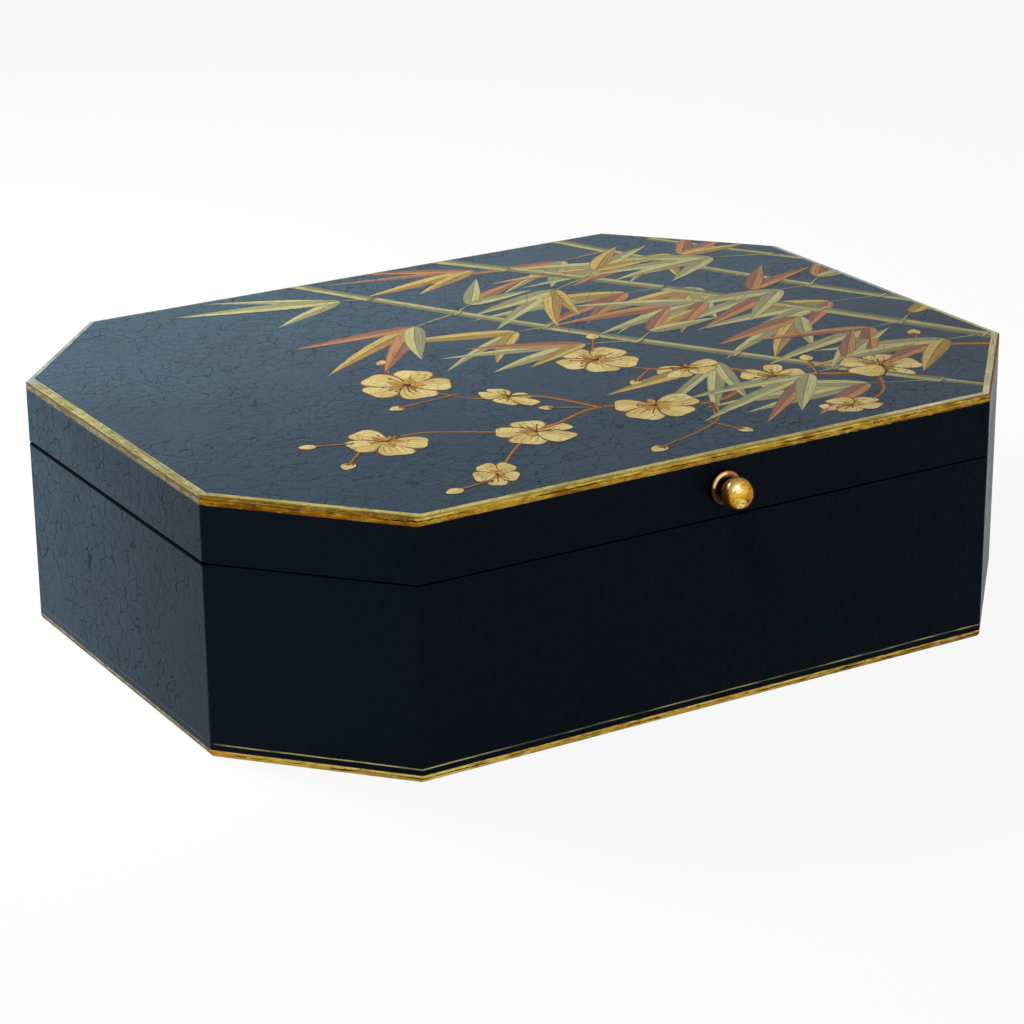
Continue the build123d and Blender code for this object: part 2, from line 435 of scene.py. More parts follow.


# The lacquer, and what is painted and worn round its edges; some tones also serve as painted light
# and shade
LACQUER = (0.0205, 0.0440, 0.0690, 1.0)
# The paler tone of the lacquer's haze, which also serves as painted sheen towards the rear
LACQUER_BLOOM_AND_SHEEN = (0.0345, 0.0720, 0.1050, 1.0)
# The craze lines' dark tone, which also serves as painted shade at the front of the end faces
CRACK_AND_SHADE = (0.0070, 0.0130, 0.0190, 1.0)
# The gold and cream tones. Several are lit and shaded copies of one paint: the edges' shaded corner
# copies and paler side copy, the top's paler copy, the bottom edge's painted highlight and the
# cream's lit front and right copies.
GOLD = three_tones((212, 174, 52), (240, 214, 118), (142, 100, 26))
GOLD_SHADED_CORNER = three_tones((188, 132, 28), (230, 192, 76), (112, 70, 12))
GOLD_FOOT = three_tones((206, 154, 46), (232, 196, 84), (150, 104, 30))
GOLD_PAINTED_HIGHLIGHT = three_tones((236, 210, 96), (246, 232, 132), (190, 150, 54))
GOLD_SIDE_SHEEN = three_tones((144, 140, 112), (170, 166, 140), (106, 96, 70))
GOLD_OVER = three_tones((160, 144, 64), (182, 164, 82), (122, 100, 36))
GOLD_OVER_DARK = three_tones((120, 90, 22), (168, 144, 62), (90, 62, 10))
CREAM = three_tones((160, 154, 104), (184, 177, 128), (124, 116, 74))
CREAM_FRONT_LIT = three_tones((186, 176, 104), (208, 198, 128), (146, 132, 72))
CREAM_GREY = three_tones((138, 150, 138), (156, 166, 152), (114, 126, 116))
CREAM_PALE = three_tones((178, 187, 172), (194, 202, 186), (150, 158, 146))
CREAM_RIGHT_LIT = three_tones((212, 206, 162), (226, 220, 180), (186, 178, 136))
LINE_GOLD = colour(196, 186, 124)
ARRIS_WEAR_AND_SHADE = colour(112, 80, 18)  # the edge's arris, worn and painted in shade, and the same at the sides
ARRIS_SIDE_WEAR_AND_SHADE = colour(92, 82, 52)
BOLE = colour(84, 58, 26)  # the brown under the gold
# The dark ground under the paint where it is worn through, also used as painted shade in the seam
GROUND_AND_SEAM_SHADE = (0.006, 0.007, 0.008, 1.0)
LACQUER_IOR = 1.10


def crackle(graph, cell, reach):
    """1 in a craze line and 0 between the lines, fading in and out in patches of reach metres."""
    place = graph.position
    for size, swing in ((1.1 * cell, 0.42 * cell), (0.3 * cell, 0.14 * cell)):
        bent = graph.noise(size, result="Color")
        place = graph.vectors("MULTIPLY_ADD", bent, (swing,) * 3, place)
    inputs = {"Vector": place, "Scale": 1 / cell, "Randomness": 1.0}
    cells = graph.node("ShaderNodeTexVoronoi", inputs, feature="DISTANCE_TO_EDGE").outputs
    breaks = graph.noise(0.7 * cell, 2.0).ramp(0.52, 0.68, 0.0, 0.025)
    line = (Wire(graph, cells["Distance"]) + breaks).ramp(0.006, 0.038, 1.0, 0.0)
    patches = graph.noise(reach, 3.0, 0.6).ramp(0.30, 0.52)
    return line * patches


def lacquer_layers(graph):
    """The lacquer's colour, roughness and bump, shared by the walls and the lid."""
    fine_cracks = crackle(graph, *FINE_CRAZE) * 0.5
    cracks = graph.larger(crackle(graph, *CRAZE), fine_cracks)
    on_walls = abs(graph.facing[1]).ramp(0.3, 0.6, 0.8, 0.12)
    shown = on_walls * graph.facing[2].ramp(0.8, 0.95, 1.0, 0.7)
    cloud = graph.noise(0.05, 4.0, 0.6)
    # Painted sheen: the lacquer is painted paler towards the rear, on top of its random haze.
    sheen_behind = graph.y.ramp(-0.12, 0.09, -0.32, 0.2)
    bloom_and_sheen = (cloud + sheen_behind).ramp(0.25, 0.8)
    # Painted shade: the end faces are painted darker towards the front, in the craze lines' tone.
    on_end = abs(graph.facing[0]).ramp(0.9, 0.98)
    in_front = graph.y.ramp(-0.075, 0.0, 0.4, 0.0)
    mottle = graph.noise(0.0035, 3.0, 0.6)
    base = graph.painted(
        LACQUER,
        (bloom_and_sheen, LACQUER_BLOOM_AND_SHEEN),
        (on_end * in_front, CRACK_AND_SHADE),
        (mottle.ramp(0.35, 0.75, 0.0, 0.22), CRACK_AND_SHADE),
        (cracks * shown, CRACK_AND_SHADE),
    )
    rough = cracks * 0.2 + cloud.ramp(0.2, 0.8, 0.26, 0.36)
    return base, rough, graph.noise(0.0016, 3.0, 0.6) * 0.12 - cracks


def brushed_along(graph, within):
    """Where the shaded point is, pressed together across the edges so that patterns streak."""
    return graph.wire("ShaderNodeCombineXYZ", graph.x, graph.y, (graph.z + within) * 14.0)


def chosen_tones(graph, share, first, second):
    return [graph.mix(share, a, b) for a, b in zip(first, second)]


def gilding(graph, within, tones, height):
    """Worn gold paint in three tones, where height runs from 0 at its foot to 1 at its top."""
    brushed = brushed_along(graph, within)
    rim = height.ramp(0.66, 0.86, -0.04, 0.10)
    line = abs(height - 0.62).ramp(0.03, 0.12, 0.13, 0.0)
    low = height.ramp(0.0, 0.6, 0.10, 0.0)
    wide = graph.noise(0.045, 3.0, 0.6) + low
    right = graph.x.ramp(0.02, 0.15, 0.0, 0.14)
    patch = graph.noise(0.02, 4.0, 0.65, vector=brushed) + wide + right
    streak = graph.noise(0.008, 4.0, 0.7, vector=brushed) + rim
    pressed = graph.stretched(graph.position, 0.36, 0.36, 1.0)
    mottle = graph.noise(0.0014, 3.0, 0.6, pressed)
    plain, bright, dull = tones
    gold = graph.painted(
        plain,
        (patch.ramp(0.96, 1.22), dull),
        (streak.ramp(0.54, 0.66), bright),
        (height.ramp(0.0, 0.4, 0.45, 0.0), dull),
        (mottle.ramp(0.50, 0.64, 0.0, 0.6), dull),
        (mottle.ramp(0.47, 0.35, 0.0, 0.45), bright),
    )
    flecks = graph.noise(0.010, 5.0, 0.72, vector=brushed) + line
    worn = flecks.ramp(0.60, 0.66, 0.0, 0.85)
    return gold, worn


def edge_tones(graph, at_corner):
    """The gold of an upright edge, in lit and shaded copies by the way each face turns: bright in
    front, painted darker at the corners and paler at the sides.
    """
    x_facing, y_facing = graph.facing[:2]
    # Painted light: chamfered corners take a darker, shaded copy of the gold, and the end faces a
    # paler copy with painted sheen.
    painted_shade = abs(x_facing * y_facing).ramp(0.3, 0.45)
    side = abs(x_facing).ramp(0.85, 0.95)
    tones = chosen_tones(graph, painted_shade, GOLD, at_corner)
    return chosen_tones(graph, side, tones, GOLD_SIDE_SHEEN), side


def lacquer_material(name, is_wall):
    """The walls' lacquer, with a pale hairline round their foot, or the rails'."""
    graph = material(name)
    base, rough, height = lacquer_layers(graph)
    z = graph.z
    within = inset(graph)
    at_side = near_sides(graph)
    # Painted shade: the inside of the seam, and on the end faces the arrises at its mouth, are
    # painted near black and given no reflection.
    deep = within.ramp(SEAM_DEPTH, SEAM_DEPTH + 0.0002, 1.0, 0.0)
    in_seam = within.ramp(0.0004, 0.0007) * deep
    gilt = None
    if is_wall:
        ledge = SEAM - SEAM_GAP
        seam_shade = z.ramp(ledge - 0.0003, ledge - 0.0001) * in_seam
        seam_shade = graph.larger(seam_shade, at_side * z.ramp(ledge - 0.0007, ledge - 0.0005))
        high = z + graph.noise(0.02, 2.0) * 0.0003
        above = high.ramp(HAIRLINE_LOW + SOFT, HAIRLINE_LOW + 2 * SOFT)
        below = high.ramp(HAIRLINE_HIGH + SOFT, HAIRLINE_HIGH + 2 * SOFT, 1.0, 0.0)
        out = within.ramp(0.0004, 0.0008, 1.0, 0.0)
        line = above * below * out
        kept = graph.noise(0.014, 4.0, vector=brushed_along(graph, within)).ramp(0.4, 0.6, 0.9, 0.3)
        # The hairline is kept fuller near where the front meets the corner on its left.
        fuller_near_corner = from_front_left(graph).ramp(0.0, 0.05, 0.4, 0.0)
        kept = graph.math("ADD", kept, fuller_near_corner, clamp=True) * graph.between(at_side, 1.0, 0.12)
        line = line * kept
        base = graph.mix(line, base, LINE_GOLD)
        gilt = line * 0.6
    else:
        # Painted shade on the rail's underside inside the seam and on its lower arris at the end
        # faces.
        arris = z.ramp(SEAM + 0.0004, SEAM + 0.0006, 1.0, 0.0)
        seam_shade = z.ramp(SEAM + 0.00005, SEAM + 0.00015, 1.0, 0.0) * in_seam
        seam_shade = graph.larger(seam_shade, at_side * arris)
    base = graph.mix(seam_shade, base, GROUND_AND_SEAM_SHADE)
    return graph.surface(
        Base_Color=base,
        Roughness=graph.between(seam_shade, rough, 0.9),
        Metallic=gilt,
        Specular_IOR_Level=graph.between(seam_shade, 0.5, 0.0),
        IOR=LACQUER_IOR,
        Normal=graph.bump(height, LACQUER_RELIEF),
    )


def lid_material():
    """Lacquer with a cream and gold border on top and the gilded edge round the board."""
    graph = material("lid_lacquer")
    base, rough, height = lacquer_layers(graph)
    x, y, z = graph.x, graph.y, graph.z
    within = inset(graph)
    z_facing = graph.facing[2]
    wobble = (graph.noise(0.012) - 0.5) * 0.0006
    past_cream = past_line(graph, BORDER_WIDTHS) + wobble
    past_gold = past_line(graph, GOLD_WIDTHS) + wobble
    border = past_cream.ramp(-SOFT, SOFT, 1.0, 0.0)
    ragged = (graph.noise(0.0012, 3.0, 0.7) - 0.5) * x.ramp(0.0, 0.1, 0.0003, 0.0018)
    foot = TOP - LID_GOLD_HEIGHT + wobble * 0.4 + ragged
    reached = z - foot
    band = border * reached.ramp(-SOFT, SOFT)
    tones, side = edge_tones(graph, GOLD_SHADED_CORNER)
    # Top faces take their own paler copy of the gold: partly the gold drawn over onto the top,
    # partly painted sheen where the top faces the light.
    level = z_facing.ramp(0.80, 0.92)
    # Near where the front meets the corner on its left, the top's gold is darker.
    chamfered = x.ramp(FRONT_LEFT_X - 0.002, FRONT_LEFT_X + 0.002, 1.0, 0.0)
    chamfered = chamfered * y.ramp(*CORNER_GOLD_PLACE, 1.0, 0.0)
    over = chosen_tones(graph, chamfered, GOLD_OVER, GOLD_OVER_DARK)
    tones = chosen_tones(graph, level, tones, over)
    to_right = x * 1.1 - y
    # Painted light: the cream is painted lighter at the front and at the right corner in front; it
    # also turns greyer at the rear left and paler at the right face.
    cream = CREAM
    for share, other in (
        (y.ramp(*CREAM_FRONT_PLACE), CREAM_FRONT_LIT),
        ((x - y).ramp(*CREAM_GREY_PLACE, 1.0, 0.0), CREAM_GREY),
        (x.ramp(*CREAM_PALE_PLACE), CREAM_PALE),
        (to_right.ramp(*CREAM_RIGHT_PLACE), CREAM_RIGHT_LIT),
    ):
        cream = chosen_tones(graph, share, cream, other)
    creamy = level * past_gold.ramp(-SOFT, SOFT)
    tones = chosen_tones(graph, creamy, tones, cream)
    rise = reached / LID_GOLD_HEIGHT
    gold, worn = gilding(graph, within, tones, graph.between(level, rise, 0.3))
    drawn = level * abs(past_gold - 0.0002).ramp(0.0001, 0.0004, 0.5, 0.0) * y.ramp(*BOLE_PLACE)
    # The arris is painted dark brown, more at the end faces: partly wear, partly painted shade that
    # keeps it from catching a highlight.
    arris = z_facing.ramp(0.05, 0.2) * z_facing.ramp(0.90, 0.97, 1.0, 0.0)
    from_front = (HALF_Y - abs(y)).ramp(*AT_FACE)
    at_side = near_sides(graph)
    wear_and_shade_at_side = graph.between(at_side, 1.0, 1.4)
    arris = graph.math("MULTIPLY", arris * from_front * 0.7, wear_and_shade_at_side, clamp=True)
    painted_shade = graph.mix(at_side, ARRIS_WEAR_AND_SHADE, ARRIS_SIDE_WEAR_AND_SHADE)
    gold = graph.painted(gold, (drawn, BOLE), (arris, painted_shade), (worn, GROUND_AND_SEAM_SHADE))
    base = graph.mix(band, base, gold)
    gilt = band * (1.0 - worn)
    shine = graph.between(graph.larger(side, level), 0.7, 0.1) * (1.0 - arris)
    dull = graph.larger(level, arris)
    return graph.surface(
        Base_Color=base,
        Roughness=graph.between(band, rough, 0.55),
        Metallic=gilt * shine,
        Specular_IOR_Level=graph.between(gilt * dull, 0.5, 0.1),
        IOR=LACQUER_IOR,
        Normal=graph.bump(height, LACQUER_RELIEF),
    )


def gilt_board_material():
    """The bottom board: a gilded edge, with plain lacquer underneath and inside."""
    graph = material("gilded_board")
    base, rough, height = lacquer_layers(graph)
    edge = graph.facing[2].ramp(-0.97, -0.9)
    within = inset(graph)
    band = edge * within.ramp(0.0024, 0.0026, 1.0, 0.0)
    tones, side = edge_tones(graph, GOLD_FOOT)
    # Painted highlight: the gold is painted brighter near where the front meets the corner on its
    # left.
    in_front = graph.y.ramp(-0.08, -0.06, 1.0, 0.0)
    bright = from_front_left(graph).ramp(0.0, 0.06, 0.9, 0.0) * in_front
    tones = chosen_tones(graph, bright, tones, GOLD_PAINTED_HIGHLIGHT)
    gold, worn = gilding(graph, within, tones, graph.z / EDGE_HEIGHT)
    gold = graph.mix(worn, gold, GROUND_AND_SEAM_SHADE)
    base = graph.mix(band, base, gold)
    gilt = band * (1.0 - worn)
    return graph.surface(
        Base_Color=base,
        Roughness=graph.between(band, rough, 0.55),
        Metallic=gilt * graph.between(side, 0.7, 0.3),
        IOR=LACQUER_IOR,
        Normal=graph.bump(height, LACQUER_RELIEF),
    )


def brass_material(name, bright, dark, rough):
    graph = material(name)
    spots = graph.noise(0.0010, 3.0, 0.6).ramp(0.64, 0.70)
    tarnish = graph.noise(0.0045, 4.0, 0.6).ramp(0.42, 0.66)
    base = graph.painted(bright, (tarnish * 0.75, dark), (spots * 0.8, colour(58, 36, 14)))
    return graph.surface(
        Base_Color=base,
        Metallic=1.0,
        Roughness=tarnish * 0.16 + rough,
        Normal=graph.bump(graph.noise(0.0006, 3.0, 0.6), HINGE_RELIEF),
    )


def knob_material():
    """The ball: painted with a highlight and a paler lower reflection on its front, painted darker
    on the side towards the box, orange-brown at its right rim and near black at its neck, and
    specked.
    """
    graph = material("knob_brass")
    x_facing, y_facing = graph.facing[:2]
    uneven = (graph.noise(0.0026, 4.0, 0.65) - 0.5) * 0.3
    # Painted highlight and painted lower reflection, by the way the ball faces.
    painted_highlight = graph.dot(graph.normal, (-0.466, -0.604, 0.647)) + uneven
    under = graph.dot(graph.normal, (-0.36, -0.87, -0.34)) + uneven
    shade_toward_box = y_facing + uneven
    # Painted reflection: the right rim is painted orange-brown.
    rim = (x_facing + uneven).ramp(0.6, 0.8)
    specks = graph.noise(0.0009, 3.0, 0.7) + x_facing * 0.07
    # Painted shade: the neck between the collar and the ball is painted near black.
    neck = graph.y.ramp(*[-HALF_Y - place for place in KNOB_NECK])
    base = graph.painted(
        colour(182, 128, 30),
        (painted_highlight.ramp(0.66, 0.92), colour(228, 180, 54)),
        (painted_highlight.ramp(0.91, 1.0), colour(255, 243, 176)),
        (under.ramp(0.90, 1.0, 0.0, 0.85), colour(240, 220, 126)),
        (shade_toward_box.ramp(-0.6, -0.2, 0.0, 0.8), colour(176, 130, 44)),
        (shade_toward_box.ramp(0.05, 0.5), colour(100, 70, 22)),
        (rim * 0.7, colour(176, 104, 44)),
        (specks.ramp(0.54, 0.59, 0.0, 0.9), colour(52, 30, 10)),
        (neck, colour(20, 14, 9)),
    )
    return graph.surface(
        Base_Color=base,
        Metallic=shade_toward_box.ramp(-0.62, -0.2, 1.0, 0.3),
        Roughness=specks.ramp(0.45, 0.65, 0.19, 0.4),
        Normal=graph.bump(graph.noise(0.0007, 3.0, 0.6), BRASS_RELIEF),
    )


def collar_material():
    """The knob's collar: painted dark in its hollow as shade, lighter towards the top of the ring,
    and with a painted highlight at the upper left of its rim.
    """
    graph = material("collar_brass")
    low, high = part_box("knob_collar")
    middle = (low + high) / 2
    from_middle = graph.vectors("SUBTRACT", graph.position, (middle.x, 0, middle.z))
    flat = graph.stretched(from_middle, 1, 0, 1)
    radius = graph.vectors("LENGTH", flat, result="Value")
    turn = graph.dot(flat, (-0.64, 0, 0.77)) / radius
    patch = graph.noise(0.003, 3.0) * 0.2
    toward_highlight = (turn + patch).ramp(0.82, 0.98)
    rim = radius.ramp(COLLAR_HOLLOW - 0.0001, COLLAR_HOLLOW + 0.0004)
    # Painted light: the ring is painted copper towards its top and dark brown below.
    copper = (graph.split(flat)[2] / radius + patch).ramp(0.4, 1.0)
    base = graph.mix(copper, colour(72, 48, 30), colour(182, 114, 60))
    foot = graph.y.ramp(*[-HALF_Y - place for place in COLLAR_FOOT])
    rim = rim * (1.0 - foot)
    # Painted shade in the hollow inside the rim and at the foot.
    base = graph.mix(rim, colour(28, 20, 13), base)
    inner = radius.ramp(*COLLAR_BEAD, 1.0, 0.2)
    # Painted highlight at the upper left of the rim.
    shine = rim * toward_highlight * inner
    base = graph.mix(shine, base, colour(246, 224, 158))
    return graph.surface(
        Base_Color=base,
        Metallic=1.0,
        Roughness=graph.between(shine, 0.5, 0.32),
        Normal=graph.bump(graph.noise(0.0006, 3.0, 0.6), BRASS_RELIEF),
    )


def cloth_material(name, shade, light):
    """Faded silk: a fine plain weave with slubs along the weft and paler, worn patches."""
    graph = material(name)
    x, y, z = graph.x, graph.y, graph.z
    turn = 2 * math.pi
    weft = graph.math("SINE", (y + z) * (turn / WEFT))
    warp = graph.math("SINE", x * (turn / WARP))
    slub = graph.noise(0.014, 3.0, vector=graph.stretched(graph.position, 1, 16, 16)) * 0.6
    fade = graph.noise(0.06, 3.0)
    base = graph.mix((slub + fade).ramp(0.5, 1.1), shade, light)
    threads = weft * 0.5 + warp * 0.3
    return graph.surface(
        Base_Color=base,
        Roughness=0.55,
        Sheen_Weight=0.3,
        Sheen_Roughness=0.4,
        Normal=graph.bump(threads, SILK_RELIEF),
    )


def dress_cad():
    """Gives every CAD node its material."""
    wall = lacquer_material("wall_lacquer", True)
    rail = lacquer_material("rail_lacquer", False)
    dressed = {
        "lid_board": lid_material(),
        "bottom_board": gilt_board_material(),
        "lid_knob": knob_material(),
        "knob_collar": collar_material(),
    }
    hinge = brass_material("hinge_brass", colour(190, 158, 92), colour(110, 78, 40), 0.3)
    silk = cloth_material("lining_silk", colour(112, 42, 40), colour(146, 66, 58))
    dressed |= dict.fromkeys(("base_lining", "lid_lining", "floor_pad", "lid_pad"), silk)
    for name, thing in nodes.items():
        if name.endswith("_wall"):
            chosen = wall
        elif name.endswith("_rail"):
            chosen = rail
        else:
            chosen = dressed.get(name, hinge)
        thing.data.materials.clear()
        thing.data.materials.append(chosen)


def seen_as(red, green, blue):
    """The paint that shows as this colour through the sheen that the lid's top takes."""
    return tuple(
        max(DARKEST, (c - PAINT_SHEEN) / PAINT_LIGHT) for c in colour(red, green, blue)[:3]
    ) + (1.0,)


def paint_material(name, light, shade, line, veins, midrib, outer):
    """Thin paint on a stroke: lit and shaded halves, fine lines along it, wear and crackle."""
    graph = material(name)
    along, across, _ = graph.split(graph.wire("ShaderNodeUVMap", uv_map="stroke"))
    length, tone, _ = graph.split(graph.wire("ShaderNodeUVMap", uv_map="strand"))
    off_middle = abs(across - 0.5)
    grain = graph.wire("ShaderNodeCombineXYZ", length * 14.0, across * 7.0, tone * 60.0)
    brushed = graph.noise(1.0, 4.0, 0.65, vector=grain)
    flip = graph.math("GREATER_THAN", graph.math("FRACT", tone * 7.0), 0.5)
    half = abs(flip - across.ramp(0.46, 0.54))
    comb = graph.math("SINE", across * (2 * math.pi * veins))
    fade = graph.noise(2.2, 2.0, vector=grain).ramp(0.4, 0.6)
    comb = comb.ramp(0.72, 0.98) * fade
    inner = along.ramp(0.62, 0.9, 1.0, 0.0)
    marks = comb * inner * 0.7
    rib = off_middle.ramp(0.015, 0.05, 1.0, 0.0) * midrib
    edge = off_middle.ramp(0.40, 0.46) * outer
    end = along.ramp(0.955, 0.985) * outer
    marks = graph.larger(marks, graph.larger(rib, graph.larger(edge, end)))
    lost = graph.noise(0.0016, 5.0, 0.75).ramp(0.64, 0.69, 0.0, 0.8)
    cracks = crackle(graph, *CRAZE)
    paint = graph.painted(
        light,
        (half * 0.85, shade),
        (brushed.ramp(0.5, 0.72, 0.0, 0.55), shade),
        (marks, line),
        (lost, LACQUER),
        (cracks * 0.45, CRACK_AND_SHADE),
    )
    height = brushed * 0.3 - cracks
    return graph.surface(
        Base_Color=paint,
        Roughness=graph.between(brushed, 0.3, 0.5),
        IOR=LACQUER_IOR,
        Normal=graph.bump(height, PAINT_RELIEF),
    )


def leaf_width(share):
    """A bamboo leaf's width along its length: full near the base, with a long point."""
    return (1 - share) ** 1.05 * share**0.42 / 0.415


def petal_width(share):
    return share**0.75 * (1 - share) ** 0.32 / 0.52


def bud_width(share):
    return math.sin(math.pi * share**0.8) ** 0.7


def even_width(share):
    return 1 + 0.14 * abs(2 * share - 1) ** 8


def taper_width(share):
    return (1 - 0.7 * share) * (1 if share < 0.97 else 0.6)


def turned(angle):
    """The direction at an angle in degrees, anticlockwise from the right."""
    return Vector((math.cos(math.radians(angle)), math.sin(math.radians(angle))))


def bowed(start, angle, length, bend):
    """Four handles of a line that leaves start at angle and turns by bend on its way."""
    handles = [start]
    for share in (0, 0.5, 1):
        handles.append(handles[-1] + turned(angle + bend * share) * length / 3)
    return handles


def on_curve(handles, share):
    """The point of a cubic curve, from 0 at its start to 1 at its end."""
    rest = 1 - share
    weights = (rest**3, 3 * rest**2 * share, 3 * rest * share**2, share**3)
    return sum((handle * weight for handle, weight in zip(handles, weights)), Vector((0, 0)))


class Painting:
    """Painted strokes as one thin mesh that lies on the lid. Its plan is in millimetres."""

    def __init__(self, name, paints, seed):
        self.name = name
        self.paints = list(paints)
        self.chance = random.Random(seed)
        self.mesh = bmesh.new()
        self.stroke_uv = self.mesh.loops.layers.uv.new("stroke")
        self.strand_uv = self.mesh.loops.layers.uv.new("strand")
        self.count = 0

    def stroke(self, paint, path, width, profile, shape=None, steps=26):
        """A strip along path, a function of the share, as wide as width times profile."""
        self.count += 1
        tone = self.chance.random()
        level = PAINT_LOW + PAINT_STEP * (1 + self.count % PAINT_LEVELS)
        shares = [(1 - math.cos(math.pi * i / steps)) / 2 for i in range(steps + 1)]
        places = [path(share) for share in shares]
        rows = []
        travelled = 0.0
        for i, share in enumerate(shares):
            before, after = places[max(i - 1, 0)], places[min(i + 1, steps)]
            ahead = (after - before).normalized()
            side = Vector((-ahead.y, ahead.x))
            travelled += (places[i] - before).length
            half = max(0.06, width * profile(share) / 2)
            row = []
            for j in range(CROSS_STEPS + 1):
                across = j / CROSS_STEPS
                point = places[i] + side * half * (2 * across - 1)
                if shape:
                    point = shape(point)
                crown = PAINT_CROWN * (1 - (2 * across - 1) ** 2)
                vertex = self.mesh.verts.new((point.x * MM, point.y * MM, level + crown))
                row.append((vertex, share, across, travelled / 100))
            for j in (0, CROSS_STEPS):
                spot = row[j][0].co
                vertex = self.mesh.verts.new((spot.x, spot.y, PAINT_LOW))
                row.append((vertex, share, j / CROSS_STEPS, travelled / 100))
            rows.append(row)
        low_left, low_right = CROSS_STEPS + 1, CROSS_STEPS + 2
        ring = list(range(CROSS_STEPS + 1)) + [low_right, low_left]
        for first, second in zip(rows, rows[1:]):
            for k, here in enumerate(ring):
                following = ring[(k + 1) % len(ring)]
                corners = first[here], second[here], second[following], first[following]
                self.face(paint, tone, *corners)
        self.face(paint, tone, *[rows[0][k] for k in ring])
        self.face(paint, tone, *[rows[-1][k] for k in reversed(ring)])

    def face(self, paint, tone, *corners):
        made = self.mesh.faces.new([corner[0] for corner in corners])
        made.material_index = self.paints.index(paint)
        for loop, (_, share, across, travelled) in zip(made.loops, corners):
            loop[self.stroke_uv].uv = (share, across)
            loop[self.strand_uv].uv = (travelled, tone)

    def line(self, paint, first, second, width, profile, steps, shape=None):
        """A straight stroke from first to second."""
        self.stroke(paint, lambda share: first.lerp(second, share), width, profile, shape, steps)

    def leaf(self, paint, place, angle, length, width, bend):
        handles = bowed(place, angle, length, bend)
        self.stroke(paint, lambda share: on_curve(handles, share), width, leaf_width)

    def spray(self, paints, place, angle, sizes, spread):
        """Leaves that fan out from one place, the first one straight ahead."""
        for i, length in enumerate(sizes):
            side = (i + 1) // 2 * (1 if i % 2 else -1)
            lean = side * spread + self.chance.uniform(-6, 6)
            paint = self.chance.choice(paints)
            width = LEAF_WIDTH * self.chance.uniform(0.8, 1.15) * (0.7 + 0.3 * length / 60)
            bend = self.chance.uniform(2, 14) * (1 if math.cos(math.radians(angle)) < 0 else -1)
            self.leaf(paint, place, angle + lean, length, width, bend)

    def twig(self, paint, place, angle, length, width, bend=8):
        """A thin twig. Returns where it ends."""
        handles = bowed(place, angle, length, bend)
        self.stroke(paint, lambda share: on_curve(handles, share), width, taper_width, steps=14)
        return handles[-1]

    def culm(self, body, ring, start, end, bow, width, joint_count):
        """A jointed cane from start to end. Returns the places of its joints."""
        straight = end - start
        side = Vector((-straight.y, straight.x)).normalized() * bow
        handles = [start, start + straight / 3 + side, start + straight * 2 / 3 + side, end]
        joints = [on_curve(handles, i / joint_count) for i in range(joint_count + 1)]
        for first, second in zip(joints, joints[1:]):
            reach = (second - first).normalized() * CULM_GAP
            near, far = first + reach, second - reach
            self.line(body, near, far, width, even_width, 10)
        heading = (end - start).normalized()
        across = Vector((-heading.y, heading.x)) * width * 0.62
        for joint in joints[1:-1]:
            left, right = joint - across, joint + across
            self.line(ring, left, right, 1.1, bud_width, 8)
        return joints

    def branch(self, paint, points, wide, thin):
        """An old, knotty branch through points, from wide to thin."""
        count = len(points) - 1

        def path(share):
            place = min(share * count, count - 1e-6)
            i = int(place)
            before, after = points[max(i - 1, 0)], points[min(i + 2, count)]
            part = place - i
            first, second = points[i], points[i + 1]
            handles = [first, first + (second - before) / 6, second - (after - first) / 6, second]
            return on_curve(handles, part)

        def profile(share):
            knots = 0.16 * math.sin(share * count * math.pi * 2 + 1) * math.sin(share * 23)
            return (1 - share * (1 - thin / wide)) * (1 + knots)

        self.stroke(paint, path, wide, profile, steps=14 * count)

    def blossom(self, place, radius, turn, squash):
        """An open flower, drawn out by its squash across the direction turn."""
        lean = turned(turn)

        def shape(point):
            offset = point - place
            return point - lean * offset.dot(lean) * (1 - squash)

        def line(paint, first, second, width, profile, steps=6):
            self.line(paint, first, second, width, profile, steps, shape)

        for i in range(5):
            angle = turn + 90 + 72 * i + self.chance.uniform(-4, 4)
            size = radius * self.chance.uniform(0.93, 1.05)
            root, tip = place + turned(angle) * size * 0.05, place + turned(angle) * size
            line("petal", root, tip, size * 0.96, petal_width, 20)
            line("heart", root, place + turned(angle) * size * 0.46, size * 0.34, bud_width, 10)
        for i in range(15):
            angle = turn + 24 * i + self.chance.uniform(-7, 7)
            tip = place + turned(angle) * radius * self.chance.uniform(0.36, 0.6)
            line("stamen", place, tip, 0.42, even_width)
            line("pollen", tip, tip + turned(angle), 1.15, bud_width)
        reach = lean * radius * 0.1
        line("pollen", place - reach, place + reach, radius * 0.2, bud_width)

    def bud(self, root, place, size):
        """A closed bud on a thin stem from root."""
        heading = (place - root).normalized()
        tip = place + heading * size
        self.line("branch", root, place, 1.3, even_width, 8)
        self.line("petal", place, tip, size * 0.85, bud_width, 14)
        angle = math.degrees(math.atan2(heading.y, heading.x))
        for lean in (-34, 0, 34):
            end = place + turned(angle + lean) * size * 0.42
            self.line("branch", place, end, 1.5, bud_width, 8)

    def finish(self):
        """Cuts the strokes at the border's inner line and puts them on the lid."""
        clip_to_plan(self.mesh, BORDER_WIDTHS)
        open_edges = [edge for edge in self.mesh.edges if edge.is_boundary]
        bmesh.ops.holes_fill(self.mesh, edges=open_edges, sides=0)
        data = bpy.data.meshes.new(self.name)
        self.mesh.to_mesh(data)
        self.mesh.free()
        for paint in self.paints:
            data.materials.append(PAINTS[paint])
        piece = put_in_scene(self.name, data)
        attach(piece, "lid")


